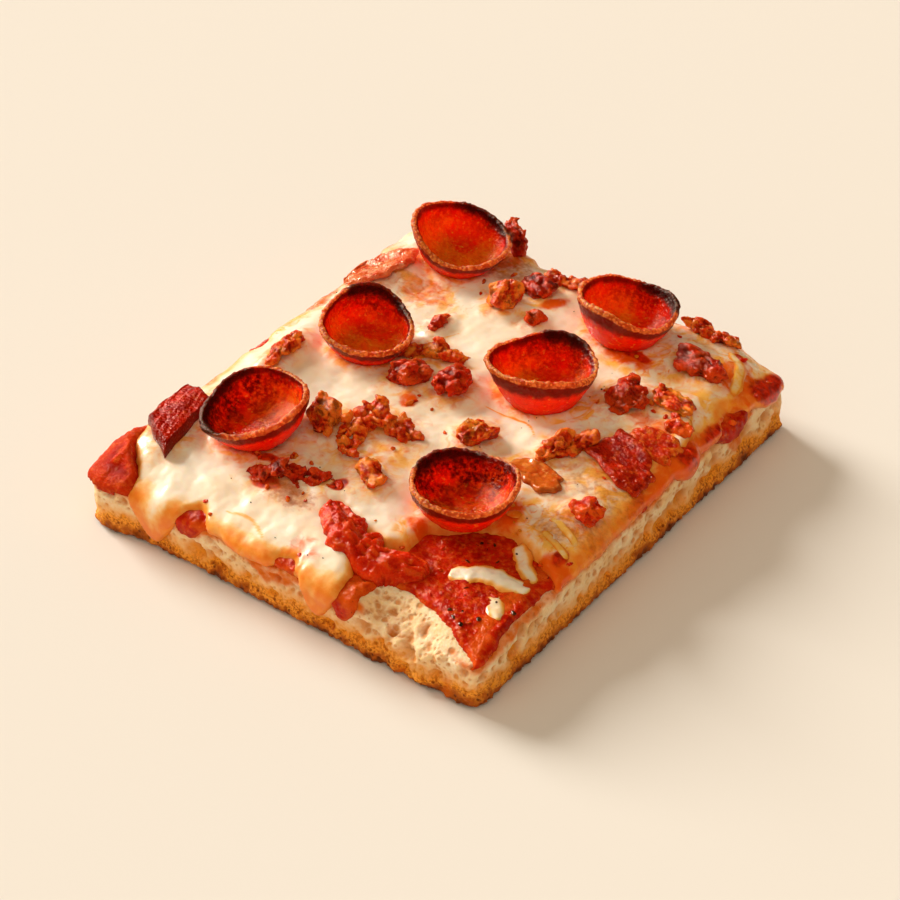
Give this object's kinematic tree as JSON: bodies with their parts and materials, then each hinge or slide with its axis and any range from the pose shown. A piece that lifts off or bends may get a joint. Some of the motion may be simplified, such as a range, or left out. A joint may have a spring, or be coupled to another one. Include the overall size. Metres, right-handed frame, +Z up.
{
  "type": "pepperoni pizza slice",
  "caption": "Rectangular thick-crust pizza slice with cupped pepperoni, melted cheese, tomato sauce and bits of bacon and sausage.",
  "frame": {"origin": "middle of the flat underside", "axes": "+Z up, +Y along the longer cut side, +X along the shorter cut side"},
  "size_m": [0.1314, 0.1513, 0.0379],
  "materials": {
    "crust": "open baked crumb, browned at its base",
    "sauce": "glossy, oily",
    "cheese": "melted, glossy, with golden patches",
    "pepperoni": "oily, browned at the rim",
    "salami": "oily",
    "bacon": "oily, crisp at the edges",
    "sausage": "browned, crumbly",
    "tomato": "wet"
  },
  "bodies": {
    "root": {"bacon_back_edge": "bacon", "bacon_curl_front": "bacon", "bacon_curl_right": "bacon", "bacon_far_edge": "bacon", "bacon_left_edge": "bacon", "bacon_rasher_edge": "bacon", "bacon_rasher_right": "bacon", "bacon_right_back": "bacon", "bacon_shred_middle": "bacon", "bacon_small_front": "bacon", "bacon_wet_front": "bacon", "cheese": "cheese", "cheese_shred_long": "cheese", "cheese_shred_short": "cheese", "crust": "crust", "pepperoni_back_left": "pepperoni", "pepperoni_behind_cup": "pepperoni", "pepperoni_cup_1": "pepperoni", "pepperoni_cup_2": "pepperoni", "pepperoni_cup_3": "pepperoni", "pepperoni_cup_4": "pepperoni", "pepperoni_cup_5": "pepperoni", "pepperoni_cup_6": "pepperoni", "pepperoni_left_corner": "pepperoni", "pepperoni_under_cheese": "pepperoni", "salami_wedge": "salami", "sauce": "sauce", "sausage_back_1": "sausage", "sausage_back_2": "sausage", "sausage_behind_cup": "sausage", "sausage_beside_cup": "sausage", "sausage_by_cup": "sausage", "sausage_front": "sausage", "sausage_middle_1": "sausage", "sausage_middle_2": "sausage", "sausage_right_1": "sausage", "sausage_right_2": "sausage", "tomato_edge_right": "tomato", "tomato_fold": "tomato", "tomato_right": "tomato"}
  },
  "joints": []
}
